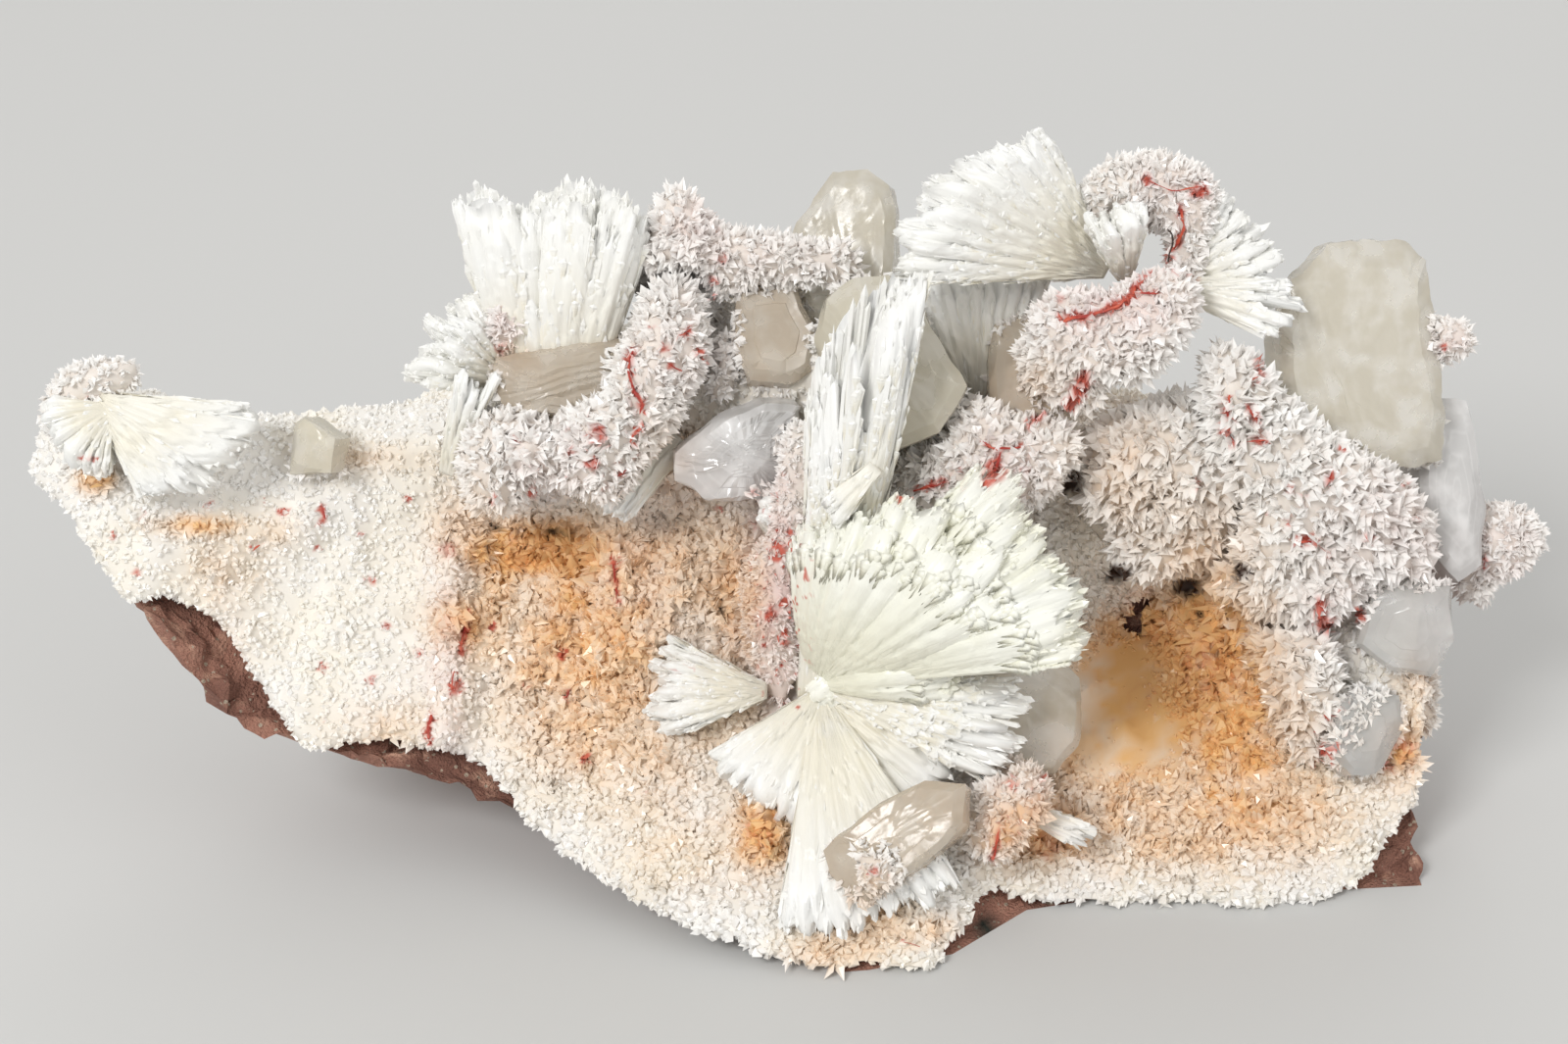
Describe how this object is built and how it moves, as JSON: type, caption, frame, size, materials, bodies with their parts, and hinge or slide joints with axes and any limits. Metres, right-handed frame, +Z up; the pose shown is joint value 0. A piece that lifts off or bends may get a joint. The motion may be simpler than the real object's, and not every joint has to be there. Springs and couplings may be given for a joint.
{
  "type": "mineral specimen",
  "caption": "Scolecite specimen: white needle sprays, translucent blocks and spiky coated growths on a druse-lined plate of reddish basalt.",
  "frame": {"origin": "on the flat underside of the basalt, near the middle of the specimen", "axes": "+Z up; -Y out of the crystal-lined face; +X along the plate, from its thin raised tip to its heavy end"},
  "size_m": [0.1597, 0.0575, 0.0795],
  "materials": {
    "basalt": "matte",
    "druse": "satin",
    "spiky_growth": "satin",
    "scolecite": "satin",
    "tan_crystal": "gloss",
    "grey_crystal": "gloss"
  },
  "bodies": {
    "root": {"basalt_matrix": "basalt", "druse_crust": "druse", "right_block": "grey_crystal", "right_lower_block": "grey_crystal", "back_peak_block": "grey_crystal", "back_ridge_block": "grey_crystal", "pearly_block": "grey_crystal", "grey_shelf_block": "grey_crystal", "clear_block": "grey_crystal", "icy_block": "grey_crystal", "window_block": "tan_crystal", "tan_wedge_block": "tan_crystal", "layered_block": "tan_crystal", "front_wedge_block": "tan_crystal", "back_shelf_block": "tan_crystal", "left_facet_block": "tan_crystal", "tall_sprays": "scolecite", "sliver_spray": "scolecite", "wing_sprays": "scolecite", "curtain_spray": "scolecite", "heart_sprays": "scolecite", "splinter_spray": "scolecite", "tip_spray": "scolecite", "pale_blade_spray": "scolecite", "thin_blade_spray": "scolecite", "left_cluster": "spiky_growth", "upper_ridge": "spiky_growth", "centre_column": "spiky_growth", "centre_knob": "spiky_growth", "vein_arch": "spiky_growth", "top_arch": "spiky_growth", "vug_hood": "spiky_growth", "right_mass": "spiky_growth", "right_foot": "spiky_growth", "side_knob": "spiky_growth", "right_point": "spiky_growth", "vein_foot": "spiky_growth", "wedge_cluster": "spiky_growth", "tip_knobs": "spiky_growth", "pink_tuft": "spiky_growth", "right_rim": "spiky_growth"}
  },
  "joints": []
}
